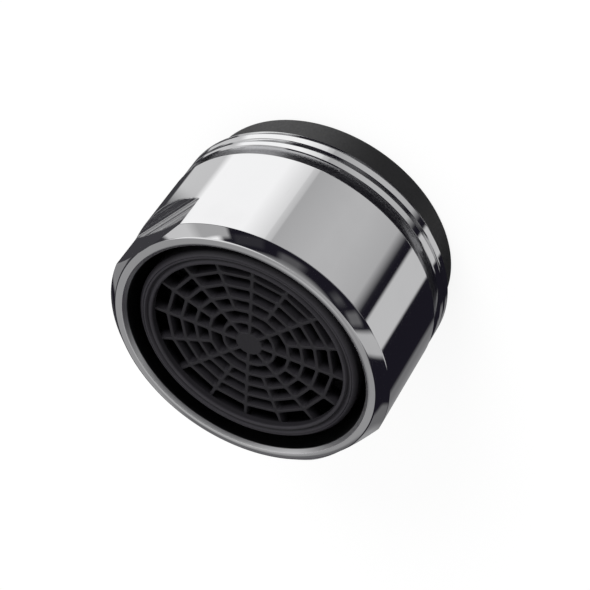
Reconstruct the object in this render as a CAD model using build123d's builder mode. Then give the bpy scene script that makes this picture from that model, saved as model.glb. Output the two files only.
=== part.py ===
"""Tap aerator with a male M24 x 1 thread and a plastic insert with a web grid at its outlet.

The aerator stands on its sealing washer: the inlet is down and the outlet is up. The origin is on the axis,
at the washer's sealing face, and the two spanner flats face +X and -X. In use it hangs the other way up.
"""

import os
from math import cos, hypot, pi, radians, sin, tan

from build123d import *

os.makedirs("parts", exist_ok=True)

# Clearances
fit_clearance = 0.1
washer_bore_clearance = 0.2
washer_side_clearance = 0.25

# Housing, along the axis
washer_thickness = 2.55
thread_length = 2.3
relief_length = 0.97
body_length = 9.78
seat_depth = 1.45

# Housing, across the axis
thread_diameter = 23.9
thread_depth = 0.6
thread_wall = 0.55
relief_depth = 0.65
body_shoulder = 0.05
seat_width = 0.55

# Housing, edges and spanner flats
thread_chamfer = 0.45
shoulder_chamfer = 0.15
rim_chamfer = 0.8
mouth_chamfer = 0.3
flat_depth = 0.83
flat_length = 3.99
flat_ramp = 36.0

# Washer
washer_edge = 0.25

# Outlet cup
air_gap = 0.85
cup_wall = 0.7
lip_recess = 0.55
lip_height = 0.53
lip_width = 1.22
lip_edge = 0.3
web_depth = 1.4
web_wall = 0.28
web_turn = 38.9
hub_radius = 1.15
web_rings = 6
primary_spokes = 8
branch_ring = 2
window_count = 8
window_width = 4.0
window_height = 2.2
window_offset = 0.3
rib_length = 1.5
rib_width = 0.8
rib_depth = 0.5

# Mixing grids
grid_height = 1.6
grid_plate = 0.8
grid_rim = 0.6
grid_bar = 0.45
grid_hub_radius = 1.5
grid_rings = 2
grid_spokes = 8

# Jet plate
plate_thickness = 1.0
plate_ledge = 0.6
plate_rim = 1.0
stem_radius = 1.3
stem_root = 0.5
jet_diameter = 1.35
jet_margin = 1.6
jet_count = 8

# Inlet filter
filter_seat_depth = 0.3
filter_stand = 1.25
filter_rim = 0.8
sieve_thickness = 0.5
mesh_opening = 1.3
mesh_bar = 0.5

# Radii that follow from the thread inwards
thread_radius = thread_diameter / 2
relief_radius = thread_radius - relief_depth
body_radius = thread_radius + body_shoulder
flat_distance = body_radius - flat_depth
root_radius = thread_radius - thread_depth
counterbore_radius = root_radius - thread_wall
bore_radius = counterbore_radius - seat_width
flange_radius = counterbore_radius - fit_clearance
cup_radius = bore_radius - air_gap
cup_bore_radius = cup_radius - cup_wall
web_radius = cup_radius - lip_width
grid_radius = cup_bore_radius - fit_clearance
plate_recess_radius = cup_bore_radius + plate_ledge
plate_radius = plate_recess_radius - fit_clearance
filter_seat_radius = plate_radius - plate_rim
filter_radius = filter_seat_radius - fit_clearance
sieve_radius = filter_radius - filter_rim
jet_circle = sieve_radius - jet_margin
washer_bore_radius = filter_radius + washer_bore_clearance
washer_radius = root_radius - washer_side_clearance

# Heights that follow from the sealing face upwards
inlet_z = washer_thickness
relief_z = inlet_z + thread_length
shoulder_z = relief_z + relief_length
rim_z = shoulder_z + body_length
flat_z = rim_z - flat_length
ramp_z = flat_z - 2 * flat_depth * tan(radians(flat_ramp))
seat_z = inlet_z + seat_depth
plate_z = inlet_z + plate_thickness
filter_top_z = inlet_z + filter_seat_depth
filter_z = inlet_z - filter_stand
crest_z = rim_z - lip_recess
web_top_z = crest_z - lip_height
web_z = web_top_z - web_depth
outlet_grid_z = web_z - rib_length - grid_height
inlet_grid_z = outlet_grid_z - grid_height
stem_end_z = inlet_grid_z + grid_height - grid_plate


# Web of straight-sided cells between two neighbouring spokes, centred on +X.
web_corners = 2 * primary_spokes
corner_angle = pi / web_corners
ring_pitch = (web_radius - hub_radius + web_wall) / web_rings


def cell_corner(face_radius, half_angle):
    """Corner of a cell where a ring wall's face meets the side of the spoke at half_angle."""
    along = face_radius - web_wall / 2 * tan(corner_angle)
    x = along * cos(half_angle) + web_wall / 2 * sin(half_angle)
    y = along * sin(half_angle) - web_wall / 2 * cos(half_angle)
    return (x, y)


def web_cell(inner_face, outer_face, spokes):
    """Outline of one cell; where the spokes are wide apart, the ring walls bend between them."""
    half_angle = pi / spokes
    inner_x, inner_y = cell_corner(inner_face, half_angle)
    outer_x, outer_y = cell_corner(outer_face, half_angle)
    if spokes == web_corners:
        return [(inner_x, -inner_y), (outer_x, -outer_y), (outer_x, outer_y), (inner_x, inner_y)]
    return [
        (inner_x, -inner_y),
        (outer_x, -outer_y),
        (outer_face, 0),
        (outer_x, outer_y),
        (inner_x, inner_y),
        (inner_face, 0),
    ]


def ring_spokes(ring):
    """Spokes that cross a ring of cells, counted from the hub."""
    return primary_spokes if ring < branch_ring else web_corners


# Housing: turned from bar, threaded at the inlet end, with two milled spanner flats that end in a ramp
with BuildPart() as housing:
    with BuildSketch(Plane.XZ) as housing_section:
        with BuildLine():
            Polyline(
                (counterbore_radius, inlet_z),
                (thread_radius, inlet_z),
                (thread_radius, relief_z),
                (relief_radius, relief_z),
                (relief_radius, shoulder_z),
                (body_radius, shoulder_z),
                (body_radius, rim_z),
                (bore_radius, rim_z),
                (bore_radius, seat_z),
                (counterbore_radius, seat_z),
                close=True,
            )
        make_face()
    revolve(axis=Axis.Z)
    circles = housing.edges().filter_by(GeomType.CIRCLE)
    rim_edges = circles.filter_by_position(Axis.Z, rim_z, rim_z).sort_by(SortBy.RADIUS)
    inlet_edges = circles.filter_by_position(Axis.Z, inlet_z, inlet_z).sort_by(SortBy.RADIUS)
    shoulder_edges = circles.filter_by_position(Axis.Z, shoulder_z, shoulder_z).sort_by(SortBy.RADIUS)
    chamfer(rim_edges[-1], rim_chamfer)
    chamfer(rim_edges[0], mouth_chamfer)
    chamfer(inlet_edges[-1], thread_chamfer)
    chamfer(shoulder_edges[-1], shoulder_chamfer)
    with BuildSketch(Plane.XZ):
        with BuildLine():
            Polyline(
                (flat_distance, rim_z),
                (flat_distance, flat_z),
                (flat_distance + 2 * flat_depth, ramp_z),
                (flat_distance + 2 * flat_depth, rim_z),
                close=True,
            )
        make_face()
        mirror(about=Plane.YZ)
    extrude(amount=body_radius, both=True, mode=Mode.SUBTRACT)
housing.part.label = "housing"
export_step(housing.part, "parts/housing.step")


# Sealing washer: a flat ring with broken edges that passes through the spout's thread
with BuildPart() as sealing_washer:
    with BuildSketch():
        Circle(washer_radius)
        Circle(washer_bore_radius, mode=Mode.SUBTRACT)
    extrude(amount=washer_thickness)
    chamfer(sealing_washer.edges().filter_by(GeomType.CIRCLE).sort_by(SortBy.RADIUS)[-2:], washer_edge)
sealing_washer.part.label = "sealing_washer"
export_step(sealing_washer.part, "parts/sealing_washer.step")


# Outlet cup: a moulded cup whose end is the web, with a raised lip and a flange at its inlet end
with BuildPart() as outlet_cup:
    with BuildSketch(Plane.XZ) as cup_section:
        with BuildLine():
            Polyline(
                (plate_recess_radius, inlet_z),
                (flange_radius, inlet_z),
                (flange_radius, seat_z),
                (cup_radius, seat_z),
                (cup_radius, crest_z - lip_edge),
                (cup_radius - lip_edge, crest_z),
                (web_radius, crest_z),
                (web_radius, web_top_z),
                (0, web_top_z),
                (0, web_z),
                (cup_bore_radius, web_z),
                (cup_bore_radius, plate_z),
                (plate_recess_radius, plate_z),
                close=True,
            )
        make_face()
    revolve(axis=Axis.Z)
    for ring in range(web_rings):
        spokes = ring_spokes(ring)
        inner_face = hub_radius + ring * ring_pitch
        outer_face = inner_face + ring_pitch - web_wall
        if ring == web_rings - 1:
            outer_face = cup_bore_radius
        with BuildSketch(Plane.XY.offset(web_z)):
            with PolarLocations(0, spokes, start_angle=web_turn + 180 / spokes):
                Polygon(*web_cell(inner_face, outer_face, spokes), align=None)
        extrude(amount=web_depth, mode=Mode.SUBTRACT)
    with PolarLocations(cup_radius - cup_wall / 2, window_count):
        with Locations((0, 0, seat_z + window_offset + window_height / 2)):
            Box(2 * cup_wall, window_width, window_height, mode=Mode.SUBTRACT)
    with BuildSketch(Plane.XY.offset(web_z - rib_length)):
        with PolarLocations(cup_bore_radius - rib_depth, primary_spokes, start_angle=web_turn):
            Rectangle(rib_depth + cup_wall / 2, rib_width, align=(Align.MIN, Align.CENTER))
    extrude(amount=rib_length + web_depth)
outlet_cup.part.label = "outlet_cup"
export_step(outlet_cup.part, "parts/outlet_cup.step")


# Mixing grids: two alike discs, the second turned by half a spoke, stacked rim on rim
def mixing_grid(name, base_z, turn):
    """One grid disc with its rim towards the inlet and its bars at the outlet end of the rim."""
    pitch = (grid_radius - grid_rim - grid_hub_radius + grid_bar) / grid_rings
    half_angle = pi / grid_spokes
    with BuildPart() as grid:
        with BuildSketch(Plane.XY.offset(base_z)):
            Circle(grid_radius)
        extrude(amount=grid_height)
        with BuildSketch(Plane.XY.offset(base_z)):
            Circle(grid_radius - grid_rim)
        extrude(amount=grid_height - grid_plate, mode=Mode.SUBTRACT)
        with BuildSketch(Plane.XY.offset(base_z + grid_height - grid_plate)):
            for ring in range(grid_rings):
                inner = grid_hub_radius + ring * pitch
                outer = (inner + pitch - grid_bar) * cos(half_angle)
                inner_y = inner * tan(half_angle) - grid_bar / 2 / cos(half_angle)
                outer_y = outer * tan(half_angle) - grid_bar / 2 / cos(half_angle)
                cell = [(inner, -inner_y), (outer, -outer_y), (outer, outer_y), (inner, inner_y)]
                with PolarLocations(0, grid_spokes, start_angle=turn):
                    Polygon(*cell, align=None)
        extrude(amount=grid_plate, mode=Mode.SUBTRACT)
    grid.part.label = name
    export_step(grid.part, f"parts/{name}.step")


mixing_grid("mixing_grid_outlet", outlet_grid_z, 0)
mixing_grid("mixing_grid_inlet", inlet_grid_z, 180 / grid_spokes)


# Jet plate: seats in the cup's flange, and its stem keeps the grids on the cup's ribs
with BuildPart() as jet_plate:
    with BuildSketch(Plane.XZ):
        with BuildLine():
            Polyline(
                (0, filter_top_z),
                (filter_seat_radius, filter_top_z),
                (filter_seat_radius, inlet_z),
                (plate_radius, inlet_z),
                (plate_radius, plate_z),
                (stem_radius + stem_root, plate_z),
                (stem_radius, plate_z + stem_root),
                (stem_radius, stem_end_z),
                (0, stem_end_z),
                close=True,
            )
        make_face()
    revolve(axis=Axis.Z)
    with BuildSketch(Plane.XY.offset(inlet_z)):
        with PolarLocations(jet_circle, jet_count):
            Circle(jet_diameter / 2)
    extrude(amount=plate_thickness, mode=Mode.SUBTRACT)
jet_plate.part.label = "jet_plate"
export_step(jet_plate.part, "parts/jet_plate.step")


# Inlet filter: a rim seated on the jet plate, closed by a flat sieve of square openings
mesh_pitch = mesh_opening + mesh_bar
mesh_reach = sieve_radius - mesh_bar
mesh_count = int(mesh_reach / mesh_pitch)
mesh_lines = [step * mesh_pitch for step in range(-mesh_count, mesh_count + 1)]
mesh_places = [
    (x, y)
    for x in mesh_lines
    for y in mesh_lines
    if hypot(abs(x) + mesh_opening / 2, abs(y) + mesh_opening / 2) < mesh_reach
]

with BuildPart() as inlet_filter:
    with BuildSketch(Plane.XY.offset(filter_z)):
        Circle(filter_radius)
    extrude(amount=filter_top_z - filter_z)
    with BuildSketch(Plane.XY.offset(filter_z + sieve_thickness)):
        Circle(sieve_radius)
    extrude(amount=filter_top_z - filter_z - sieve_thickness, mode=Mode.SUBTRACT)
    with BuildSketch(Plane.XY.offset(filter_z)):
        with Locations(*mesh_places):
            Rectangle(mesh_opening, mesh_opening)
    extrude(amount=sieve_thickness, mode=Mode.SUBTRACT)
inlet_filter.part.label = "inlet_filter"
export_step(inlet_filter.part, "parts/inlet_filter.step")
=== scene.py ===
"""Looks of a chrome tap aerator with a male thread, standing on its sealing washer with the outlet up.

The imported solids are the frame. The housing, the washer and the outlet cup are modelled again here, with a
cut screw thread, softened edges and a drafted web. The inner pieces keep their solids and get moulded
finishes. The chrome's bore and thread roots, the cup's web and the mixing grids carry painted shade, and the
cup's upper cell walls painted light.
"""

import logging
from collections.abc import Callable, Iterator, Sequence
from contextlib import contextmanager
from dataclasses import dataclass, field
from enum import Enum
from itertools import pairwise
from math import atan2, cos, degrees, pi, radians, sin, tan
from typing import ClassVar

import bmesh
import bpy
from mathutils import Matrix, Vector


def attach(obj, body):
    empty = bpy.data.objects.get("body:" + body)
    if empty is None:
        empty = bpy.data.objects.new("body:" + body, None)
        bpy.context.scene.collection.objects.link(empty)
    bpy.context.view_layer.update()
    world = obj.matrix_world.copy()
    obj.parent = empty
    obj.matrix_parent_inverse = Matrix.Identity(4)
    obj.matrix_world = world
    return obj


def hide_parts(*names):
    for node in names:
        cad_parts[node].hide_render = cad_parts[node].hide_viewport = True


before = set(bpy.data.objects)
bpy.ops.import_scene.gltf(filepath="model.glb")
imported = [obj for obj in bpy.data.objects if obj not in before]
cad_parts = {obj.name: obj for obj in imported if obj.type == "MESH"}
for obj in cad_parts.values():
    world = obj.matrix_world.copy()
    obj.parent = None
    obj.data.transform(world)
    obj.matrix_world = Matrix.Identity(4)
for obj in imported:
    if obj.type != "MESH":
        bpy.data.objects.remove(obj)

LOG = logging.getLogger("aerator")
MM = 0.001
# Distances in metres, for merging doubles, cutting along a plane and picking by place.
MERGE_DISTANCE = 1e-7
PLANE_TOLERANCE = 1e-9
PICK_TOLERANCE = 2e-6
# A face is a wall where its normal rises less than this.
WALL_TILT = 0.5
# The two ways in which a mask changes over a band of values.
RISE = (0.0, 1.0)
FALL = (1.0, 0.0)
WHITE = (1.0, 1.0, 1.0, 1.0)
Point = tuple[float, float]
Colour = tuple[float, float, float, float]
Piece = bpy.types.Object
Socket = bpy.types.NodeSocket


class Look(Enum):
    """The finishes, each as the name of its material and the record's slot that it fills."""

    CHROME = ("chrome_plate_finish", "chrome_plate")
    RUBBER = ("black_rubber_finish", "black_rubber")
    CUP = ("dark_plastic_finish", "dark_plastic")
    # The grids' finish is a darker copy of the cup's plastic: painted shade, so that the cells below the web
    # read black.
    GRID = ("inner_plastic_painted_shade", "dark_plastic")
    PALE = ("pale_plastic_finish", "pale_plastic")

    @property
    def material_name(self) -> str:
        """Name of the finish's material."""
        return self.value[0]

    @property
    def slot(self) -> str:
        """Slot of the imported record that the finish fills."""
        return self.value[1]


class Element(Enum):
    """What a pick in edit mode selects."""

    VERT = "VERT"
    EDGE = "EDGE"
    FACE = "FACE"


class Cut(Enum):
    """How a tool body acts on the piece that it meets."""

    ADD = "UNION"
    TAKE = "DIFFERENCE"
    KEEP = "INTERSECT"


def make_active(piece: Piece) -> None:
    """Selects one object alone and makes it the active one.

    Args:
        piece: The object that the next operators act on.
    """
    bpy.ops.object.select_all(action="DESELECT")
    piece.select_set(True)
    bpy.context.view_layer.objects.active = piece


@contextmanager
def editing(piece: Piece) -> Iterator[None]:
    """Opens a piece in edit mode with nothing selected, and closes it again.

    Args:
        piece: The mesh object to edit.

    Yields:
        Nothing, while the piece is open.
    """
    make_active(piece)
    bpy.ops.object.mode_set(mode="EDIT")
    bpy.ops.mesh.select_mode(type="VERT")
    bpy.ops.mesh.select_all(action="DESELECT")
    yield
    bpy.ops.object.mode_set(mode="OBJECT")


def pick(piece: Piece, element: Element, test: Callable[..., bool]) -> None:
    """Selects in edit mode the elements that pass a test, and nothing else.

    Args:
        piece: The mesh object in edit mode.
        element: Whether vertices, edges or faces are picked.
        test: Takes one element and says whether it is wanted.
    """
    bpy.ops.mesh.select_mode(type=element.value)
    bpy.ops.mesh.select_all(action="DESELECT")
    mesh = bmesh.from_edit_mesh(piece.data)
    pools = {Element.VERT: mesh.verts, Element.EDGE: mesh.edges, Element.FACE: mesh.faces}
    for item in filter(test, pools[element]):
        item.select_set(True)
    bmesh.update_edit_mesh(piece.data)


def close_mesh() -> None:
    """Merges doubles all over the mesh in edit mode and turns its faces outwards."""
    bpy.ops.mesh.select_all(action="SELECT")
    bpy.ops.mesh.remove_doubles(threshold=MERGE_DISTANCE)
    bpy.ops.mesh.normals_make_consistent(inside=False)


def trace_outline(name: str, points: Sequence[Point]) -> Piece:
    """Draws a chain of edges in the XZ plane, vertex by vertex.

    Args:
        name: Name of the new object.
        points: Radius and height of each corner, in millimetres.

    Returns:
        The object that holds the chain.
    """
    corners = [Vector((radius, 0, height)) * MM for radius, height in points]
    bpy.ops.object.select_all(action="DESELECT")
    bpy.ops.mesh.primitive_plane_add(size=MM, location=(0, 0, 0))
    piece = bpy.context.object
    piece.name = name
    with editing(piece):
        bpy.ops.mesh.select_all(action="SELECT")
        bpy.ops.mesh.merge(type="CENTER")
        bpy.ops.transform.translate(value=corners[0])
        for here, there in pairwise(corners):
            bpy.ops.mesh.extrude_vertices_move(TRANSFORM_OT_translate={"value": there - here})
    return piece


def turn_outline(name: str, points: Sequence[Point], steps: int) -> Piece:
    """Turns a closed outline about the axis, as on a lathe.

    Args:
        name: Name of the new object.
        points: Radius and height of each corner, in millimetres; the last one joins the first.
        steps: Facets round the axis.

    Returns:
        The turned, closed ring.
    """
    piece = trace_outline(name, [*points, points[0]])
    with editing(piece):
        bpy.ops.mesh.select_all(action="SELECT")
        bpy.ops.mesh.remove_doubles(threshold=MERGE_DISTANCE)
        bpy.ops.mesh.spin(steps=steps, angle=2 * pi, center=(0, 0, 0), axis=(0, 0, 1))
        close_mesh()
    return piece


def on_circle(edge: bmesh.types.BMEdge, radius: float, height: float) -> bool:
    """Says whether an edge lies on a circle about the axis.

    Args:
        edge: The edge to test.
        radius: Radius of the circle, in millimetres.
        height: Height of the circle, in millimetres.

    Returns:
        True where both ends lie on the circle.
    """
    return all(
        max(abs(vert.co.xy.length - radius * MM), abs(vert.co.z - height * MM)) < PICK_TOLERANCE
        for vert in edge.verts
    )


@dataclass(frozen=True)
class Round:
    """A rounded edge: its reach along each face, in millimetres, and the number of its facets."""

    width: float
    segments: int

    def cut(self) -> None:
        """Rounds the edges that are selected in edit mode."""
        bpy.ops.mesh.bevel(offset=self.width * MM, segments=self.segments, affect="EDGES")


def soften_circle(piece: Piece, corner: Point, edge_round: Round) -> None:
    """Rounds one circular edge of a turned piece.

    Args:
        piece: The turned piece.
        corner: Radius and height of the edge, in millimetres.
        edge_round: The round that the edge gets.
    """
    with editing(piece):
        pick(piece, Element.EDGE, lambda edge: on_circle(edge, *corner))
        edge_round.cut()


def apply_modifier(piece: Piece, kind: str, **settings: object) -> None:
    """Adds a modifier to a piece and applies it.

    Args:
        piece: The piece that changes.
        kind: The modifier's type.
        **settings: Values for the modifier's own properties.
    """
    make_active(piece)
    bpy.ops.object.modifier_add(type=kind)
    modifier = piece.modifiers[-1]
    for name, value in settings.items():
        setattr(modifier, name, value)
    bpy.ops.object.modifier_apply(modifier=modifier.name)


def cut_with(piece: Piece, tool: Piece, cut: Cut) -> None:
    """Adds, takes away or keeps a tool body's volume, and removes the tool.

    Args:
        piece: The piece that changes.
        tool: The body that acts on it.
        cut: How it acts.
    """
    apply_modifier(piece, "BOOLEAN", operation=cut.value, solver="EXACT", object=tool)
    bpy.data.objects.remove(tool, do_unlink=True)


def join_all(pieces: Sequence[Piece]) -> Piece:
    """Joins objects into the first of them.

    Args:
        pieces: The objects to join.

    Returns:
        The first object, which now holds every mesh.
    """
    make_active(pieces[0])
    for piece in pieces:
        piece.select_set(True)
    bpy.ops.object.join()
    return pieces[0]


def add_block(name: str, low: Vector, high: Vector) -> Piece:
    """Adds a block between two corners.

    Args:
        name: Name of the block.
        low: Lowest corner, in millimetres.
        high: Highest corner, in millimetres.

    Returns:
        The block, with its place in its mesh.
    """
    bpy.ops.object.select_all(action="DESELECT")
    bpy.ops.mesh.primitive_cube_add(size=1, location=(low + high) / 2 * MM)
    block = bpy.context.object
    block.name = name
    block.scale = (high - low) * MM
    bpy.ops.object.transform_apply(location=True, rotation=True, scale=True)
    return block


def ring_of(piece: Piece, turns: Sequence[float]) -> Piece:
    """Sets copies of a piece round the axis and joins them.

    Args:
        piece: The piece at its first place, which is used up.
        turns: Turn of each copy about the Z axis, in radians.

    Returns:
        One object that holds every copy.
    """
    copies = []
    for turn in turns:
        make_active(piece)
        bpy.ops.object.duplicate()
        twin = bpy.context.object
        twin.rotation_euler.z = turn
        bpy.ops.object.transform_apply(location=True, rotation=True, scale=True)
        copies.append(twin)
    bpy.data.objects.remove(piece, do_unlink=True)
    return join_all(copies)


def smooth_finish(piece: Piece, sharp_angle: float) -> None:
    """Shades a piece smooth up to an angle and keeps its broad faces true.

    Args:
        piece: The finished mesh.
        sharp_angle: Edges that bend more than this, in degrees, stay sharp.
    """
    make_active(piece)
    bpy.ops.object.shade_smooth_by_angle(angle=radians(sharp_angle))
    apply_modifier(piece, "WEIGHTED_NORMAL", mode="FACE_AREA", keep_sharp=True)


class NodeDesk:
    """Places nodes in one node tree and joins their sockets."""

    def __init__(self, tree: bpy.types.NodeTree) -> None:
        """Takes the tree to work in and empties it.

        Args:
            tree: A material's, world's or group's node tree.
        """
        self.tree = tree
        tree.nodes.clear()

    def add(self, kind: str, settings: dict | None = None, **inputs: object) -> bpy.types.Node:
        """Adds one node.

        Args:
            kind: The node's type name.
            settings: Values for the node's own properties.
            **inputs: Values or sockets for its inputs, named with underscores for spaces.

        Returns:
            The new node.
        """
        node = self.tree.nodes.new(kind)
        for name, value in (settings or {}).items():
            setattr(node, name, value)
        for name, value in inputs.items():
            self.feed(node.inputs[name.replace("_", " ")], value)
        return node

    def feed(self, socket: Socket, value: object) -> None:
        """Links a socket to another one, or sets its value.

        Args:
            socket: The input to feed.
            value: The socket that it is linked to, or the value that it takes.
        """
        if isinstance(value, Socket):
            self.tree.links.new(value, socket)
        else:
            socket.default_value = value

    def join(self, kind: str, *values: object, **settings: object) -> Socket:
        """Adds one node and feeds its inputs in order.

        Args:
            kind: The node's type name.
            *values: Values or sockets for its inputs.
            **settings: Values for the node's own properties.

        Returns:
            The node's first output.
        """
        node = self.add(kind, settings)
        for socket, value in zip(node.inputs, values):
            self.feed(socket, value)
        return node.outputs[0]

    def math(self, operation: str, *values: object, clamp: bool = False) -> Socket:
        """Adds a Math node.

        Args:
            operation: The Math node's operation.
            *values: Numbers or sockets for its inputs, in order.
            clamp: Whether the result stays between 0 and 1.

        Returns:
            The node's result.
        """
        return self.join("ShaderNodeMath", *values, operation=operation, use_clamp=clamp)

    def noise(self, place: Socket, scale: object, detail: float, **settings: object) -> Socket:
        """Adds a noise texture.

        Args:
            place: The coordinates that it follows.
            scale: How fine it is, as a number or a socket.
            detail: How many finer layers it has.
            **settings: Values for the node's own properties.

        Returns:
            The noise, from 0 to 1.
        """
        node = self.add("ShaderNodeTexNoise", settings, Vector=place, Scale=scale, Detail=detail)
        return node.outputs[0]

    def remap(self, value: Socket, source: Point, target: Point) -> Socket:
        """Maps one range of values smoothly to another.

        Args:
            value: The socket to read.
            source: The range that is read.
            target: The range that is put out.

        Returns:
            The mapped value.
        """
        node = self.add("ShaderNodeMapRange", {"interpolation_type": "SMOOTHSTEP"}, Value=value)
        for name, number in zip(("From Min", "From Max", "To Min", "To Max"), (*source, *target)):
            node.inputs[name].default_value = number
        return node.outputs["Result"]

    def mix_colour(self, factor: Socket, first: object, second: object) -> Socket:
        """Mixes two colours.

        Args:
            factor: 0 gives the first colour and 1 the second.
            first: A linear colour with alpha, or a socket.
            second: A linear colour with alpha, or a socket.

        Returns:
            The mixed colour.
        """
        node = self.add("ShaderNodeMix", {"data_type": "RGBA"})
        self.feed(node.inputs["Factor"], factor)
        colours = [socket for socket in node.inputs if socket.type == "RGBA"]
        self.feed(colours[0], first)
        self.feed(colours[1], second)
        return next(socket for socket in node.outputs if socket.type == "RGBA")


def new_group(name: str, inputs: dict[str, float | None], outputs: Sequence[str]) -> NodeDesk:
    """Makes an empty shader node group with named sockets.

    Args:
        name: Name of the group.
        inputs: Each input's default number, or None for a vector.
        outputs: Names of the value outputs.

    Returns:
        A desk over the group's tree.
    """
    tree = bpy.data.node_groups.new(name, "ShaderNodeTree")
    for label, number in inputs.items():
        kind = "NodeSocketVector" if number is None else "NodeSocketFloat"
        socket = tree.interface.new_socket(label, in_out="INPUT", socket_type=kind)
        if number is not None:
            socket.default_value = number
    for label in outputs:
        tree.interface.new_socket(label, in_out="OUTPUT", socket_type="NodeSocketFloat")
    return NodeDesk(tree)


def new_material(name: str) -> tuple[bpy.types.Material, NodeDesk]:
    """Makes an empty material.

    Args:
        name: Name of the material.

    Returns:
        The material, and a desk over its nodes.
    """
    made = bpy.data.materials.new(name)
    made.use_nodes = True
    return made, NodeDesk(made.node_tree)


def moulded_grain() -> bpy.types.NodeTree:
    """Builds the fine grain and slow clouding that moulded surfaces share.

    Returns:
        The group, with the inputs Vector and Scale and the outputs Fine and Broad.
    """
    cloud_share, cloud_band = 0.06, (0.32, 0.68)
    desk = new_group("moulded_grain", {"Vector": None, "Scale": 6000.0}, ("Fine", "Broad"))
    given = desk.add("NodeGroupInput").outputs
    fine = desk.noise(given["Vector"], given["Scale"], detail=3.0)
    cloud_scale = desk.math("MULTIPLY", given["Scale"], cloud_share)
    cloud = desk.noise(given["Vector"], cloud_scale, detail=2.0)
    desk.add("NodeGroupOutput", Fine=fine, Broad=desk.remap(cloud, cloud_band, RISE))
    return desk.tree


def handling_marks() -> bpy.types.NodeTree:
    """Builds the faint smears and hairlines that handling leaves on a surface.

    Returns:
        The group, with the inputs Vector and Scale and the outputs Smear and Hairline.
    """
    smear_band = (0.45, 0.75)
    line_band, line_strength = (0.70, 0.84), (0.0, 0.6)
    line_share, line_slant, line_stretch = 1.3, (0.5, 0.9, 0.3), (1.0, 14.0, 1.0)
    desk = new_group("handling_marks", {"Vector": None, "Scale": 240.0}, ("Smear", "Hairline"))
    given = desk.add("NodeGroupInput").outputs
    smear = desk.noise(given["Vector"], given["Scale"], detail=4.0)
    slanted = desk.add("ShaderNodeMapping", Vector=given["Vector"], Rotation=line_slant, Scale=line_stretch)
    line_scale = desk.math("MULTIPLY", given["Scale"], line_share)
    lines = desk.noise(slanted.outputs[0], line_scale, detail=1.0)
    desk.add(
        "NodeGroupOutput",
        Smear=desk.remap(smear, smear_band, RISE),
        Hairline=desk.remap(lines, line_band, line_strength),
    )
    return desk.tree


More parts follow.
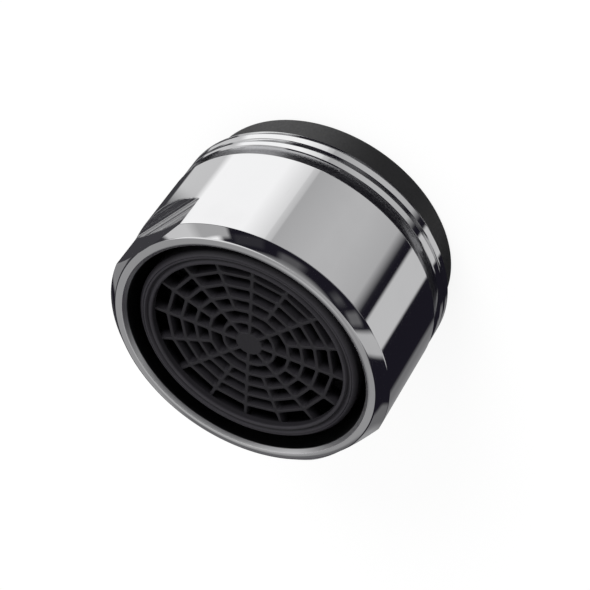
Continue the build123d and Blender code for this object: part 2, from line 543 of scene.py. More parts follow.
@dataclass(frozen=True)
class ChromePlate:
    """Bright chrome over turned brass, with tool lines and marks of handling.

    The thread's roots are painted a darker grey and the bore a dark grey, as painted shade in these recesses;
    both are also rougher. The mouth is dull, and the ramps of the flats are milled. The edges of these zones
    are in metres.
    """

    colour: Colour = (0.874, 0.875, 0.878, 1.0)
    smeared: Colour = (0.834, 0.835, 0.838, 1.0)
    # Painted shade: the bore's dark grey and the thread roots' darker grey stand in for the shade in these
    # recesses.
    bore_shade: Colour = (0.09, 0.09, 0.095, 1.0)
    root_shade: Colour = (0.6, 0.6, 0.61, 1.0)
    roughness: Point = (0.045, 0.10)
    bore_roughness: float = 0.1
    root_roughness: float = 0.16
    milled_roughness: float = 0.14
    mouth_roughness: float = 0.34
    root_edge: Point = (0.01150, 0.01176)
    root_low: Point = (0.00295, 0.00315)
    root_top: Point = (0.00576, 0.00582)
    bore_edge: Point = (0.01026, 0.01031)
    mouth_edge: Point = (0.01054, 0.01060)
    ramp_across: Point = (0.01115, 0.01119)
    ramp_round: Point = (0.01195, 0.01199)
    ramp_low: Point = (0.0095, 0.0100)
    ramp_high: Point = (0.01160, 0.01166)
    mark_scale: float = 240.0
    smear_share: float = 0.6
    line_scale: float = 5200.0
    line_depth: float = 1.2e-7
    mill_scale: float = 4200.0
    mill_depth: float = 320.0

    def material(self, name: str, marks: bpy.types.NodeTree) -> bpy.types.Material:
        """Makes the finish.

        Args:
            name: Name of the material.
            marks: The group of handling marks.

        Returns:
            The material.
        """
        made, desk = new_material(name)
        place = desk.add("ShaderNodeTexCoord").outputs["Object"]
        worn = desk.add("ShaderNodeGroup", {"node_tree": marks}, Vector=place, Scale=self.mark_scale)
        axes = desk.add("ShaderNodeSeparateXYZ", Vector=place).outputs
        across, height = desk.math("ABSOLUTE", axes["X"]), axes["Z"]
        squares = [desk.math("POWER", axes[axis], 2.0) for axis in ("X", "Y")]
        radius = desk.math("SQRT", desk.math("ADD", *squares))
        bore = desk.remap(radius, self.bore_edge, FALL)
        mouth = desk.remap(radius, self.mouth_edge, FALL)
        # The thread's roots, where the colour is painted shade.
        root = self._zone(
            desk,
            (radius, self.root_edge, FALL),
            (height, self.root_low, RISE),
            (height, self.root_top, FALL),
        )
        milled = self._zone(
            desk,
            (across, self.ramp_across, RISE),
            (radius, self.ramp_round, FALL),
            (height, self.ramp_low, RISE),
            (height, self.ramp_high, FALL),
        )
        turned = self._lines(desk, radius, height, self.line_scale)
        straight = self._lines(desk, across, height, self.mill_scale)
        ramps = desk.math("MULTIPLY", desk.math("MULTIPLY", straight, self.mill_depth), milled)
        relief = desk.math("ADD", turned, ramps)
        bump = desk.add("ShaderNodeBump", Strength=1.0, Distance=self.line_depth, Height=relief)
        smear = desk.math("MULTIPLY", worn.outputs["Smear"], self.smear_share)
        dull = desk.math("MAXIMUM", smear, worn.outputs["Hairline"])
        rough = desk.remap(dull, RISE, self.roughness)
        for mask, more in (
            (bore, self.bore_roughness),
            (mouth, self.mouth_roughness),
            (root, self.root_roughness),
            (milled, self.milled_roughness),
        ):
            rough = desk.math("ADD", rough, desk.math("MULTIPLY", mask, more))
        plated = desk.mix_colour(dull, self.colour, self.smeared)
        # Painted shade: the thread's roots and the bore take darker greys in place of the plated colour.
        shader = desk.add(
            "ShaderNodeBsdfPrincipled",
            Base_Color=desk.mix_colour(bore, desk.mix_colour(root, plated, self.root_shade), self.bore_shade),
            Roughness=rough,
            Metallic=1.0,
            Normal=bump.outputs[0],
        )
        desk.add("ShaderNodeOutputMaterial", Surface=shader.outputs[0])
        return made

    @staticmethod
    def _zone(desk: NodeDesk, *limits: tuple[Socket, Point, Point]) -> Socket:
        """Masks the zone that lies inside every limit.

        Args:
            desk: The material's nodes.
            *limits: A coordinate, the band where the mask changes, and whether it rises or falls there.

        Returns:
            The mask, from 0 to 1.
        """
        first, *others = [desk.remap(*limit) for limit in limits]
        for other in others:
            first = desk.math("MULTIPLY", first, other)
        return first

    @staticmethod
    def _lines(desk: NodeDesk, first: Socket, second: Socket, scale: float) -> Socket:
        """Makes uneven tool lines along which two coordinates stay the same.

        Args:
            desk: The material's nodes.
            first: One coordinate across the lines.
            second: The other one.
            scale: How close the lines lie.

        Returns:
            The height of the lines, from 0 to 1.
        """
        flat = desk.join("ShaderNodeCombineXYZ", first, second)
        return desk.noise(flat, scale, detail=2.0, noise_dimensions="2D")


@dataclass(frozen=True)
class MouldedFinish:
    """A moulded plastic or rubber: grain, slow clouding and a soft sheen.

    Each painted tone is a colour that the surface takes on below a band of heights in metres, from the top
    down: light or shade painted by height.
    """

    colour: Colour
    clouded: Colour
    roughness: Point
    sheen: float = 0.5
    grain_scale: float = 6000.0
    grain_depth: float = 4e-6
    grain_strength: float = 0.6
    grain_band: Point = (0.25, 0.75)
    painted_tones: tuple[tuple[Point, Colour], ...] = ()

    def material(self, name: str, grain: bpy.types.NodeTree) -> bpy.types.Material:
        """Makes the finish.

        Args:
            name: Name of the material.
            grain: The group of moulded grain.

        Returns:
            The material.
        """
        made, desk = new_material(name)
        place = desk.add("ShaderNodeTexCoord").outputs["Object"]
        skin = desk.add("ShaderNodeGroup", {"node_tree": grain}, Vector=place, Scale=self.grain_scale)
        fine, broad = skin.outputs["Fine"], skin.outputs["Broad"]
        bump = desk.add(
            "ShaderNodeBump", Strength=self.grain_strength, Distance=self.grain_depth, Height=fine
        )
        colour = desk.mix_colour(broad, self.colour, self.clouded)
        # Painted light and shade: the colour changes with height, band by band.
        if self.painted_tones:
            height = desk.add("ShaderNodeSeparateXYZ", Vector=place).outputs["Z"]
            for band, painted_tone in self.painted_tones:
                colour = desk.mix_colour(desk.remap(height, band, RISE), painted_tone, colour)
        shader = desk.add(
            "ShaderNodeBsdfPrincipled",
            Base_Color=colour,
            Roughness=desk.remap(fine, self.grain_band, self.roughness),
            Specular_IOR_Level=self.sheen,
            Normal=bump.outputs[0],
        )
        desk.add("ShaderNodeOutputMaterial", Surface=shader.outputs[0])
        return made


MOULDED_FINISHES: dict[Look, MouldedFinish] = {
    Look.RUBBER: MouldedFinish(
        colour=(0.0042, 0.0042, 0.0048, 1.0),
        clouded=(0.0060, 0.0060, 0.0068, 1.0),
        roughness=(0.44, 0.56),
        sheen=0.82,
    ),
    Look.CUP: MouldedFinish(
        colour=(0.0335, 0.0314, 0.0372, 1.0),
        clouded=(0.0385, 0.0361, 0.0427, 1.0),
        roughness=(0.38, 0.52),
        sheen=0.36,
        # Painted shade and light by height: the lip's inner wall, its grooves and the web are darker than the
        # lip's top, the cell walls just below the web's top are painted lighter, and deeper in the cells the
        # colour sinks to near black as painted shade.
        painted_tones=(
            ((0.01484, 0.01502), (0.0215, 0.0202, 0.0239, 1.0)),
            ((0.01440, 0.01450), (0.0275, 0.0258, 0.0305, 1.0)),
            ((0.01345, 0.01436), (0.0008, 0.0007, 0.0012, 1.0)),
        ),
    ),
    # Painted shade: the same plastic as the cup, made darker so that the grids seen through the cells read
    # black.
    Look.GRID: MouldedFinish(
        colour=(0.0085, 0.0080, 0.0095, 1.0),
        clouded=(0.0110, 0.0104, 0.0124, 1.0),
        roughness=(0.44, 0.6),
        sheen=0.25,
    ),
    Look.PALE: MouldedFinish(
        colour=(0.60, 0.60, 0.58, 1.0), clouded=(0.66, 0.66, 0.64, 1.0), roughness=(0.35, 0.5)
    ),
}


class FinishRack:
    """Every finish of the object, made once."""

    def __init__(self) -> None:
        """Makes the shared groups and the finishes that use them."""
        chrome = ChromePlate().material(Look.CHROME.material_name, handling_marks())
        self.finishes: dict[Look, bpy.types.Material] = {Look.CHROME: chrome}
        grain = moulded_grain()
        for look, finish in MOULDED_FINISHES.items():
            self.finishes[look] = finish.material(look.material_name, grain)

    def dress(self, piece: Piece, look: Look) -> None:
        """Gives a piece its finish.

        Args:
            piece: A new piece or a carried-over solid.
            look: The finish that it takes.
        """
        piece.data.materials.clear()
        piece.data.materials.append(self.finishes[look])


class ModelledPiece:
    """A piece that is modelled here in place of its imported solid, on the object's one body."""

    node: ClassVar[str]
    look: ClassVar[Look]

    def dress(self, piece: Piece, rack: FinishRack) -> None:
        """Gives the piece its finish and lets it ride in place of its solid.

        Args:
            piece: The finished mesh.
            rack: The object's finishes.
        """
        node = self.node
        rack.dress(piece, self.look)
        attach(piece, "root")
        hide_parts(node)


@dataclass
class Housing(ModelledPiece):
    """The turned and plated shell, with its thread, relief groove, body, chamfered rim and two flats.

    Lengths are in millimetres and heights count from the washer's sealing face. The thread's root and crest
    count along the axis from the start of a winding.
    """

    node: ClassVar[str] = "housing"
    look: ClassVar[Look] = Look.CHROME
    inlet_z: float = 2.55
    relief_z: float = 4.85
    shoulder_z: float = 5.82
    rim_z: float = 15.6
    seat_z: float = 4.0
    flat_z: float = 11.61
    flat_distance: float = 11.17
    flat_reach: float = 1.66
    flat_ramp: float = 36.0
    flat_fillet: Round = Round(0.12, 5)
    body_radius: float = 12.0
    core_radius: float = 11.3
    counterbore_radius: float = 10.8
    bore_radius: float = 10.25
    rim_chamfer: float = 0.8
    mouth_chamfer: float = 0.3
    shoulder_chamfer: float = 0.15
    chamfer_round: Round = Round(0.06, 4)
    rim_round: Round = Round(0.08, 4)
    mouth_round: Round = Round(0.05, 4)
    shoulder_round: Round = Round(0.04, 4)
    thread_radius: float = 11.95
    thread_pitch: float = 1.0
    thread_start: float = -0.85
    thread_windings: int = 9
    thread_chamfer: float = 0.45
    thread_fade: float = 0.08
    root_radius: float = 11.35
    root_flat: float = 0.07
    crest: Point = (0.27, 0.82)
    crest_chamfer: float = 0.05
    collar_inset: float = 0.15
    collar_gap: float = 0.02
    envelope_radius: float = 12.6
    margin: float = 1.0
    sharp_angle: float = 17.0
    steps: int = 360

    def build(self) -> Piece:
        """Models the shell.

        Returns:
            The finished mesh object.
        """
        shell = self._turned_shell()
        cut_with(shell, self._thread_collar(), Cut.ADD)
        cut_with(shell, self._flat_cutters(), Cut.TAKE)
        with editing(shell):
            close_mesh()
        smooth_finish(shell, self.sharp_angle)
        return shell

    def _turned_shell(self) -> Piece:
        """Turns the shell without its thread and rounds its edges.

        Returns:
            The turned ring.
        """
        body_z = self.shoulder_z + self.shoulder_chamfer
        chamfer_z = self.rim_z - self.rim_chamfer
        rim_radius = self.body_radius - self.rim_chamfer
        mouth_radius = self.bore_radius + self.mouth_chamfer
        mouth_z = self.rim_z - self.mouth_chamfer
        shell = turn_outline(
            "housing_plated",
            [
                (self.counterbore_radius, self.inlet_z),
                (self.core_radius, self.inlet_z),
                (self.core_radius, self.shoulder_z),
                (self.body_radius - self.shoulder_chamfer, self.shoulder_z),
                (self.body_radius, body_z),
                (self.body_radius, chamfer_z),
                (rim_radius, self.rim_z),
                (mouth_radius, self.rim_z),
                (self.bore_radius, mouth_z),
                (self.bore_radius, self.seat_z),
                (self.counterbore_radius, self.seat_z),
            ],
            self.steps,
        )
        for corner, edge_round in (
            ((self.body_radius, chamfer_z), self.chamfer_round),
            ((rim_radius, self.rim_z), self.rim_round),
            ((mouth_radius, self.rim_z), self.mouth_round),
            ((self.bore_radius, mouth_z), self.mouth_round),
            ((self.body_radius, body_z), self.shoulder_round),
        ):
            soften_circle(shell, corner, edge_round)
        return shell

    def _thread_collar(self) -> Piece:
        """Winds the thread's ridge into a rod and trims it to the threaded length.

        Returns:
            A closed collar that reaches into the shell's core.
        """
        crest_low, crest_high = self.crest
        flank_radius = self.thread_radius - self.crest_chamfer
        ridge = [
            (self.root_radius, 0.0),
            (self.root_radius, self.root_flat),
            (flank_radius, crest_low - self.crest_chamfer),
            (self.thread_radius, crest_low),
            (self.thread_radius, crest_high),
            (flank_radius, crest_high + self.crest_chamfer),
            (self.root_radius, self.thread_pitch),
        ]
        rod = trace_outline("thread_rod", [(radius, self.thread_start + along) for radius, along in ridge])
        apply_modifier(
            rod,
            "SCREW",
            axis="Z",
            angle=2 * pi,
            screw_offset=self.thread_pitch * MM,
            iterations=self.thread_windings,
            steps=self.steps,
            render_steps=self.steps,
        )
        with editing(rod):
            close_mesh()
            for height, side in ((self.inlet_z - self.margin, -1), (self.relief_z + self.margin, 1)):
                bpy.ops.mesh.select_all(action="SELECT")
                bpy.ops.mesh.bisect(
                    plane_co=(0, 0, height * MM),
                    plane_no=(0, 0, side),
                    use_fill=True,
                    clear_outer=True,
                    threshold=PLANE_TOLERANCE,
                )
            close_mesh()
        cut_with(rod, self._thread_envelope(), Cut.KEEP)
        return rod

    def _thread_envelope(self) -> Piece:
        """Turns the ring that the thread is kept inside, with the lead-in and the end as its slopes.

        Returns:
            The turned ring.
        """
        lead_radius = self.thread_radius - self.thread_chamfer
        fade_radius = self.thread_radius - self.thread_fade
        inner_radius = self.counterbore_radius + self.collar_inset
        low_z = self.inlet_z + self.collar_gap
        return turn_outline(
            "thread_envelope",
            [
                (inner_radius, low_z),
                (lead_radius + self.collar_gap, low_z),
                (self.envelope_radius, self.inlet_z + self.envelope_radius - lead_radius),
                (self.envelope_radius, self.relief_z - self.envelope_radius + fade_radius),
                (fade_radius, self.relief_z),
                (inner_radius, self.relief_z),
            ],
            self.steps,
        )

    def _flat_cutters(self) -> Piece:
        """Makes the two bodies that mill the spanner flats, sloped where the mill runs out.

        Returns:
            Both bodies as one object.
        """
        outer = self.flat_distance + self.flat_reach
        side = self.body_radius + self.margin
        low = Vector((self.flat_distance, -side, self.flat_z))
        high = Vector((outer, side, self.rim_z + self.margin))
        cutter = add_block("flat_cutter", low, high)
        below = self.flat_z * MM + PICK_TOLERANCE
        outside = outer * MM - PICK_TOLERANCE
        drop = self.flat_reach * tan(radians(self.flat_ramp))
        with editing(cutter):
            pick(cutter, Element.VERT, lambda vert: vert.co.z < below and vert.co.x > outside)
            bpy.ops.transform.translate(value=(0, 0, -drop * MM))
            pick(
                cutter,
                Element.EDGE,
                lambda edge: all(vert.co.z < below and vert.co.x < outside for vert in edge.verts),
            )
            self.flat_fillet.cut()
        return ring_of(cutter, (0.0, pi))


@dataclass
class SealingWasher(ModelledPiece):
    """The rubber ring that the object stands on, in millimetres."""

    node: ClassVar[str] = "sealing_washer"
    look: ClassVar[Look] = Look.RUBBER
    radius: float = 11.1
    bore_radius: float = 8.3
    thickness: float = 2.55
    outer_round: Round = Round(0.28, 6)
    bore_round: Round = Round(0.28 / 3, 4)
    sharp_angle: float = 30.0
    steps: int = 256

    def build(self) -> Piece:
        """Models the ring.

        Returns:
            The finished mesh object.
        """
        ring = turn_outline(
            "sealing_washer_rubber",
            [
                (self.bore_radius, 0.0),
                (self.radius, 0.0),
                (self.radius, self.thickness),
                (self.bore_radius, self.thickness),
            ],
            self.steps,
        )
        for height in (0.0, self.thickness):
            soften_circle(ring, (self.radius, height), self.outer_round)
            soften_circle(ring, (self.bore_radius, height), self.bore_round)
        smooth_finish(ring, self.sharp_angle)
        return ring


@dataclass
class OutletCup(ModelledPiece):
    """The moulded cup with the web at its outlet, a raised lip round it and a flange at its inlet end.

    Lengths are in millimetres and heights count from the washer's sealing face.
    """

    node: ClassVar[str] = "outlet_cup"
    look: ClassVar[Look] = Look.CUP
    inlet_z: float = 2.55
    seat_z: float = 4.0
    plate_z: float = 3.55
    web_z: float = 13.12
    web_top_z: float = 14.52
    crest_z: float = 15.05
    flange_radius: float = 10.7
    cup_radius: float = 9.4
    cup_bore_radius: float = 8.7
    plate_recess_radius: float = 9.3
    web_radius: float = 8.18
    lip_edge: float = 0.3
    lip_draft: float = 0.03
    lip_overlap: float = 0.02
    lip_low_round: Round = Round(0.12, 4)
    lip_top_round: Round = Round(0.06, 3)
    lip_inner_round: Round = Round(0.14, 5)
    groove_radius: float = 8.64
    groove_width: float = 0.36
    groove_depth: float = 0.24
    groove_round: Round = Round(0.06, 3)
    line_inset: float = 0.12
    line_width: float = 0.09
    line_depth: float = 0.06
    hub_radius: float = 1.15
    web_wall: float = 0.28
    web_turn: float = 38.9
    web_rings: int = 6
    web_root: float = 0.42
    branch_ring: int = 2
    primary_spokes: int = 8
    hub_corner: Round = Round(0.1, 4)
    cell_corner: Round = Round(0.26, 4)
    corner_margin: float = 0.3
    wall_round: Round = Round(0.1, 3)
    wall_draft: float = 0.18
    windows: int = 8
    window_low_z: float = 4.3
    window_high_z: float = 6.5
    window_width: float = 4.0
    window_margin: float = 1.0
    rib_length: float = 1.5
    rib_width: float = 0.8
    rib_depth: float = 0.5
    rib_root: float = 0.3
    sharp_angle: float = 32.0
    steps: int = 256

    def build(self) -> Piece:
        """Models the cup.

        Returns:
            The finished mesh object.
        """
        cup = self._turned_cup()
        cut_with(cup, self._window_cutters(), Cut.TAKE)
        cut_with(cup, self._ribs(), Cut.ADD)
        cut_with(cup, self._web(), Cut.ADD)
        with editing(cup):
            close_mesh()
        smooth_finish(cup, self.sharp_angle)
        return cup

    def _turned_cup(self) -> Piece:
        """Turns the cup's wall with its flange and its grooved lip.

        Returns:
            The turned ring.
        """
        under_lip_z = self.web_top_z - self.lip_overlap
        lip_low_z = self.crest_z - self.lip_edge
        lip_radius = self.cup_radius - self.lip_edge
        lip_inner_radius = self.web_radius + self.lip_draft
        cup = turn_outline(
            "outlet_cup_moulded",
            [
                (self.plate_recess_radius, self.inlet_z),
                (self.flange_radius, self.inlet_z),
                (self.flange_radius, self.seat_z),
                (self.cup_radius, self.seat_z),
                (self.cup_radius, lip_low_z),
                (lip_radius, self.crest_z),
                *self._lip_groove(lip_radius - self.line_inset, self.line_width, self.line_depth),
                *self._lip_groove(self.groove_radius, self.groove_width, self.groove_depth),
                (lip_inner_radius, self.crest_z),
                (self.web_radius, under_lip_z),
                (self.cup_bore_radius, under_lip_z),
                (self.cup_bore_radius, self.plate_z),
                (self.plate_recess_radius, self.plate_z),
            ],
            self.steps,
        )
        for corner, edge_round in (
            ((self.cup_radius, lip_low_z), self.lip_low_round),
            ((lip_radius, self.crest_z), self.lip_top_round),
            ((self.groove_radius, self.crest_z - self.groove_depth), self.groove_round),
            ((lip_inner_radius, self.crest_z), self.lip_inner_round),
        ):
            soften_circle(cup, corner, edge_round)
        return cup

    def _lip_groove(self, radius: float, width: float, depth: float) -> list[Point]:
        """Gives the corners of a groove in the lip's top.

        Args:
            radius: Radius of the groove's bottom, in millimetres.
            width: Width at the lip's top, in millimetres.
            depth: Depth below the lip's top, in millimetres.

        Returns:
            The corners from outside to inside.
        """
        return [
            (radius + width / 2, self.crest_z),
            (radius, self.crest_z - depth),
            (radius - width / 2, self.crest_z),
        ]

    def _window_cutters(self) -> Piece:
        """Makes the blocks that cut the air windows, two at a time, through the cup's wall.

        Returns:
            The blocks as one object.
        """
        reach = self.cup_radius + self.window_margin
        low = Vector((-reach, -self.window_width / 2, self.window_low_z))
        high = Vector((reach, self.window_width / 2, self.window_high_z))
        turns = [turn * 2 * pi / self.windows for turn in range(self.windows // 2)]
        return ring_of(add_block("window_cutter", low, high), turns)

    def _ribs(self) -> Piece:
        """Makes the ribs inside the cup that carry the mixing grids.

        Returns:
            The ribs as one object, with their backs inside the cup's wall.
        """
        front = self.cup_bore_radius - self.rib_depth
        back = self.cup_bore_radius + self.rib_root
        low = Vector((front, -self.rib_width / 2, self.web_z - self.rib_length))
        high = Vector((back, self.rib_width / 2, self.web_z + self.rib_root))
        step = 2 * pi / self.primary_spokes
        turns = [radians(self.web_turn) + spoke * step for spoke in range(self.primary_spokes)]
        return ring_of(add_block("rib", low, high), turns)

    def _web(self) -> Piece:
        """Models the web from rings of cells: inset, opened, extruded to depth, drafted and rounded.

        Returns:
            The web with its outer ends inside the cup's wall.
        """
        first = self.hub_radius - self.web_wall / 2
        pitch = (self.web_radius - self.hub_radius + self.web_wall) / self.web_rings
        radii = [first + ring * pitch for ring in range(self.web_rings)]
        radii.append(self.cup_bore_radius + self.web_root)
        top = (0, 0, self.web_top_z * MM)
        bpy.ops.object.select_all(action="DESELECT")
        bpy.ops.mesh.primitive_circle_add(
            vertices=2 * self.primary_spokes,
            radius=first * MM,
            fill_type="NGON",
            location=top,
            rotation=(0, 0, radians(self.web_turn)),
        )
        web = bpy.context.object
        web.name = "web"
        bpy.ops.object.transform_apply(location=True, rotation=True, scale=True)
        with editing(web):
            pick(web, Element.EDGE, lambda edge: edge.is_boundary)
            for inner, outer in pairwise(radii):
                bpy.ops.mesh.extrude_region_move()
                bpy.ops.transform.resize(value=(outer / inner, outer / inner, 1), center_override=top)
            pick(web, Element.EDGE, lambda edge: self._is_branch(edge, radii[self.branch_ring]))
            bpy.ops.mesh.dissolve_edges(use_verts=False)
            pick(web, Element.FACE, lambda face: face.calc_center_median().xy.length > first * MM / 2)
            bpy.ops.mesh.inset(thickness=self.web_wall / 2 * MM, use_individual=True, use_even_offset=True)
            bpy.ops.mesh.delete(type="FACE")
            bpy.ops.mesh.select_all(action="SELECT")
            drop = (0, 0, (self.web_z - self.web_top_z) * MM)
            bpy.ops.mesh.extrude_region_move(TRANSFORM_OT_translate={"value": drop})
            close_mesh()
            pick(web, Element.VERT, lambda vert: vert.co.z < self.web_z * MM + PICK_TOLERANCE)
            bpy.ops.transform.shrink_fatten(value=self.wall_draft * MM)
            bpy.ops.transform.resize(value=(1, 1, 0), center_override=(0, 0, self.web_z * MM))
            hub_limit = self.hub_radius + self.corner_margin
            for corner, low, high in (
                (self.hub_corner, 0.0, hub_limit),
                (self.cell_corner, hub_limit, self.cup_bore_radius + self.corner_margin),
            ):
                pick(web, Element.EDGE, lambda edge: self._is_cell_corner(edge, low, high))
                corner.cut()
            pick(web, Element.EDGE, self._is_top_edge)
            self.wall_round.cut()
            close_mesh()
        return web

    def _is_branch(self, edge: bmesh.types.BMEdge, limit: float) -> bool:
        """Says whether an edge of the web's plan is a secondary spoke inside the branching ring.

        Args:
            edge: An edge of the plan.
            limit: Radius of the ring where secondary spokes start, in millimetres.

        Returns:
            True for an edge to dissolve.
        """
        first, second = (vert.co.xy for vert in edge.verts)
        middle = (first + second) / 2
        along = abs(first.length - second.length) > self.web_wall * MM
        step = 180 / self.primary_spokes
        index = round((degrees(atan2(middle.y, middle.x)) - self.web_turn) / step)
        return along and middle.length < limit * MM and index % 2 == 1

    def _is_cell_corner(self, edge: bmesh.types.BMEdge, low: float, high: float) -> bool:
        """Says whether an edge is an upright corner of a cell, between two radii.

        Args:
            edge: An edge of the extruded web.
            low: The smaller radius, in millimetres.
            high: The larger radius, in millimetres.

        Returns:
            True for a corner to round.
        """
        first, second = (vert.co for vert in edge.verts)
        upright = abs(first.z - second.z) > (self.web_top_z - self.web_z) / 2 * MM
        return upright and low * MM < first.xy.length < high * MM

    def _is_top_edge(self, edge: bmesh.types.BMEdge) -> bool:
        """Says whether an edge is the upper rim of a cell's wall.

        Args:
            edge: An edge of the extruded web.

        Returns:
            True for an edge to round.
        """
        level = all(abs(vert.co.z - self.web_top_z * MM) < PICK_TOLERANCE for vert in edge.verts)
        tilts = sorted(abs(face.normal.z) for face in edge.link_faces)
        return level and len(tilts) == 2 and tilts[0] < WALL_TILT < tilts[1]


@dataclass(frozen=True)
class LightPanel:
    """A flat of the studio, as polished metal sees it, between two bearings and two elevations in degrees.

    The softness is the width of the edges at the first and last bearing and at the bottom and top.
    """

    bearing: Point
    elevation: Point
    brightness: float
    softness: tuple[float, float, float, float] = (3.0, 3.0, 3.0, 3.0)


@dataclass
class Studio:
    """White floor, soft light, and the light and dark flats that the chrome mirrors.

    The lamp and the floor are in metres.
    """

    ambient: float = 0.6
    dark: Colour = (0.0105, 0.0095, 0.0150, 1.0)
    panels: tuple[LightPanel, ...] = (
        LightPanel((-40, 36), (-95, 2), 0.72, (6.0, 8.0, 3.0, 6.0)),
        LightPanel((-28, 36), (-95, 2), 0.28, (20.0, 8.0, 3.0, 6.0)),
        LightPanel((36, 75), (-95, -40.65), 0.55, (8.0, 3.0, 3.0, 0.8)),
        LightPanel((36, 112), (-95, -20), 0.035, (8.0, 5.0, 3.0, 4.0)),
        LightPanel((-124, -40), (-50, -34), 0.39, (10.0, 4.0, 4.0, 4.0)),
        LightPanel((-112, -56), (-50, -34), 0.10, (40.0, 40.0, 4.0, 4.0)),
        LightPanel((-124, -40), (-26, 5), 0.22, (10.0, 4.0, 5.0, 6.0)),
        LightPanel((-165, -137), (-95, 2), 0.54, (3.0, 3.0, 3.0, 6.0)),
        LightPanel((-160, -141), (8, 60), 0.46, (4.0, 5.0, 4.0, 4.0)),
        LightPanel((104, 152), (-95, 2), 0.16, (8.0, 7.0, 3.0, 6.0)),
        LightPanel((104, 134), (-95, 2), 0.08, (8.0, 20.0, 3.0, 6.0)),
        LightPanel((140, 168), (-8, 11), 0.14, (5.0, 3.0, 4.0, 3.0)),
        LightPanel((-11, 34), (17, 42), 0.38, (3.0, 3.0, 4.0, 4.0)),
        LightPanel((14, 34), (17, 42), 0.22, (8.0, 3.0, 4.0, 4.0)),
        LightPanel((34, 112), (4, 32), 0.026, (3.0, 3.0, 3.0, 3.0)),
        LightPanel((30, 54), (-20, 6), 0.38, (3.0, 4.0, 3.0, 3.0)),
        LightPanel((54, 82), (-16, 4), 0.22, (4.0, 3.0, 3.0, 3.0)),
        LightPanel((40, 92), (35, 62), 0.30, (6.0, 3.0, 4.0, 6.0)),
        LightPanel((92, 132), (36.9, 58), 0.30, (4.0, 6.0, 1.4, 8.0)),
        LightPanel((107, 111), (40.3, 45), 0.15, (2.0, 2.0, 1.0, 3.0)),
        LightPanel((92, 107), (28, 36.9), 0.30, (4.0, 2.0, 4.0, 1.4)),
        LightPanel((107, 132), (28, 36.9), 0.12, (2.0, 6.0, 4.0, 1.4)),
        LightPanel((-185, 185), (54, 95), 0.33, (3.0, 3.0, 6.0, 3.0)),
        LightPanel((-8, 62), (48, 95), 0.5, (8.0, 8.0, 6.0, 3.0)),
        LightPanel((-3, 52), (40.5, 49), 0.8, (5.0, 5.0, 3.0, 3.0)),
        LightPanel((-58, -40), (-37, -18), 0.32, (5.0, 4.0, 4.0, 4.0)),
        LightPanel((-136, -124), (36, 46), 0.12, (5.0, 5.0, 3.0, 3.0)),
        LightPanel((-116, -106), (42, 49), 0.06, (9.0, 9.0, 3.0, 3.0)),
        LightPanel((-74, -52), (45, 53), 0.08, (10.0, 6.0, 3.0, 3.0)),
        LightPanel((-38, -14), (39, 48), 0.018, (4.0, 4.0, 3.0, 3.0)),
    )
    lamp_place: tuple[float, float, float] = (0.309, -0.217, 0.184)
    lamp_aim: tuple[float, float, float] = (0.0, 0.0, 0.008)
    lamp_size: float = 0.20
    lamp_energy: float = 1.0
    floor_size: float = 1.6
    floor_drop: float = 1e-5
    floor_glow: float = 0.86
    floor_shade: float = 0.2
    footprint: Point = (0.0085, 0.0110)

    def build(self) -> None:
        """Sets the world, the lamp and the floor."""
        self._world()
        self._lamp()
        self._floor()

    def _panel_group(self) -> bpy.types.NodeTree:
        """Builds the mask of one flat: a window in bearing and elevation with soft edges.

        Returns:
            The group, with the output Light.
        """
        limits = (
            ("Bearing", "From", 1.0),
            ("Bearing", "To", -1.0),
            ("Elevation", "Low", 1.0),
            ("Elevation", "High", -1.0),
        )
        names = ["Bearing", "Elevation", "Brightness"]
        for _, limit, _ in limits:
            names += [limit, limit + " Edge"]
        desk = new_group("light_flat", {name: 0.0 for name in names}, ("Light",))
        given = desk.add("NodeGroupInput").outputs
        light = given["Brightness"]
        for angle, limit, sign in limits:
            inside = desk.math("MULTIPLY", desk.math("SUBTRACT", given[angle], given[limit]), sign)
            share = desk.math("DIVIDE", inside, given[limit + " Edge"])
            light = desk.math("MULTIPLY", light, desk.math("ADD", share, 0.5, clamp=True))
        desk.add("NodeGroupOutput", Light=light)
        return desk.tree

    def _world(self) -> None:
        """Sets a white surround for the camera, flats for polished metal and even light for the rest."""
        world = bpy.data.worlds.new("studio")
        world.use_nodes = True
        world.cycles.sampling_method = "NONE"
        bpy.context.scene.world = world
        desk = NodeDesk(world.node_tree)
        view = desk.add("ShaderNodeTexCoord").outputs["Generated"]
        axes = desk.add("ShaderNodeSeparateXYZ", Vector=view).outputs
        bearing = desk.math("DEGREES", desk.math("ARCTAN2", axes["Y"], axes["X"]))
        elevation = desk.math("DEGREES", desk.math("ARCSINE", axes["Z"]))
        group = self._panel_group()
        light: object = 0.0
        for panel in self.panels:
            flat = desk.add(
                "ShaderNodeGroup",
                {"node_tree": group},
                Bearing=bearing,
                Elevation=elevation,
                Brightness=panel.brightness,
            )
            limits = zip(("From", "To", "Low", "High"), (*panel.bearing, *panel.elevation), panel.softness)
            for limit, angle, softness in limits:
                flat.inputs[limit].default_value = angle
                flat.inputs[limit + " Edge"].default_value = softness
            light = desk.math("ADD", light, flat.outputs["Light"])
        even, bright, gloom, surround = (
            desk.add("ShaderNodeBackground", Color=colour, Strength=strength).outputs[0]
            for colour, strength in (
                (WHITE, self.ambient),
                (WHITE, light),
                (self.dark, 1.0),
                (WHITE, 1.0),
            )
        )
        path = desk.add("ShaderNodeLightPath").outputs
        flats = desk.join("ShaderNodeAddShader", bright, gloom)
        lit = desk.join("ShaderNodeMixShader", path["Is Glossy Ray"], even, flats)
        direct = desk.math("MAXIMUM", path["Is Camera Ray"], path["Is Transmission Ray"])
        desk.add("ShaderNodeOutputWorld", Surface=desk.join("ShaderNodeMixShader", direct, lit, surround))

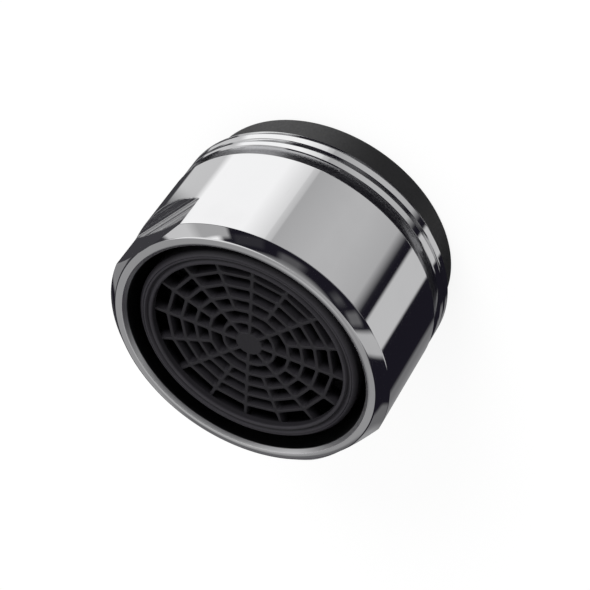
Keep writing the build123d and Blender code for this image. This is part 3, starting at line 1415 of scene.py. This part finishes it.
    def _lamp(self) -> None:
        """Stands one broad lamp low beside the object, out of the chrome's sight."""
        bpy.ops.object.light_add(type="AREA", location=self.lamp_place)
        lamp = bpy.context.object
        lamp.name = "soft_lamp"
        lamp.data.size = self.lamp_size
        lamp.data.energy = self.lamp_energy
        lamp.visible_glossy = False
        lamp.rotation_mode = "QUATERNION"
        lamp.rotation_quaternion = (lamp.location - Vector(self.lamp_aim)).to_track_quat("Z", "Y")

    def _floor(self) -> None:
        """Lays a white floor that keeps a soft shadow, glows outside the footprint and is clear from below."""
        bpy.ops.object.select_all(action="DESELECT")
        bpy.ops.mesh.primitive_plane_add(size=self.floor_size, location=(0, 0, -self.floor_drop))
        floor = bpy.context.object
        floor.name = "floor"
        floor.visible_glossy = False
        made, desk = new_material("white_floor")
        shade = (self.floor_shade, self.floor_shade, self.floor_shade, 1.0)
        matt = desk.add("ShaderNodeBsdfDiffuse", Color=shade).outputs[0]
        place = desk.add("ShaderNodeTexCoord").outputs["Object"]
        reach = desk.add("ShaderNodeVectorMath", {"operation": "LENGTH"}, Vector=place).outputs["Value"]
        camera_ray = desk.add("ShaderNodeLightPath").outputs["Is Camera Ray"]
        seen = desk.math("MULTIPLY", camera_ray, self.floor_glow)
        strength = desk.math("MULTIPLY", seen, desk.remap(reach, self.footprint, RISE))
        glow = desk.add("ShaderNodeEmission", Strength=strength).outputs[0]
        both = desk.join("ShaderNodeAddShader", matt, glow)
        clear = desk.add("ShaderNodeBsdfTransparent").outputs[0]
        below = desk.add("ShaderNodeNewGeometry").outputs["Backfacing"]
        desk.add("ShaderNodeOutputMaterial", Surface=desk.join("ShaderNodeMixShader", below, both, clear))
        floor.data.materials.append(made)


@dataclass
class PhotoCamera:
    """The camera at the photograph's viewing angle, in millimetres and degrees."""

    azimuth: float = 18.5
    elevation: float = 40.453
    roll: float = -145.966
    aim: tuple[float, float, float] = (0.382, -3.833, 10.956)
    distance: float = 154.616
    lens: float = 122.22
    sensor_width: float = 36.0
    clip_start: float = 5.0

    def build(self) -> None:
        """Makes the camera and gives it to the scene."""
        turn, rise, roll = (radians(value) for value in (self.azimuth, self.elevation, self.roll))
        back = Vector((sin(turn) * cos(rise), -cos(turn) * cos(rise), sin(rise)))
        level = Vector((cos(turn), sin(turn), 0))
        right = cos(roll) * level + sin(roll) * back.cross(level)
        data = bpy.data.cameras.new("photo_camera")
        data.lens = self.lens
        data.sensor_width = self.sensor_width
        data.clip_start = self.clip_start * MM
        camera = bpy.data.objects.new("photo_camera", data)
        bpy.context.scene.collection.objects.link(camera)
        axes = Matrix((right, back.cross(right), back)).transposed().to_4x4()
        camera.matrix_world = Matrix.Translation((Vector(self.aim) + back * self.distance) * MM) @ axes
        bpy.context.scene.camera = camera


@dataclass
class InnerPieces:
    """The solids inside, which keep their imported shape."""

    finishes: dict[str, Look] = field(
        default_factory=lambda: {
            # The grids take the darker copy of the cup's plastic, as painted shade.
            "mixing_grid_outlet": Look.GRID,
            "mixing_grid_inlet": Look.GRID,
            "jet_plate": Look.PALE,
            "inlet_filter": Look.PALE,
        }
    )

    def dress(self, rack: FinishRack) -> None:
        """Gives each solid its finish.

        Args:
            rack: The object's finishes.
        """
        for node, look in self.finishes.items():
            rack.dress(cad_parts[node], look)


def main() -> None:
    """Builds and reports the pieces in order, with their face counts, and sets the studio and the camera."""
    logging.basicConfig(level=logging.INFO, format="%(name)s: %(message)s")
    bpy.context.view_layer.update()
    bpy.context.scene.view_settings.view_transform = "Standard"
    rack = FinishRack()
    for part in (Housing(), SealingWasher(), OutletCup()):
        piece = part.build()
        part.dress(piece, rack)
        LOG.info("%s: %d faces in place of %s", piece.name, len(piece.data.polygons), part.node)
    inner = InnerPieces()
    inner.dress(rack)
    for node, look in inner.finishes.items():
        LOG.info("%s: packed solid, %s", node, look.material_name)
    Studio().build()
    PhotoCamera().build()


if __name__ == "__main__":
    main()
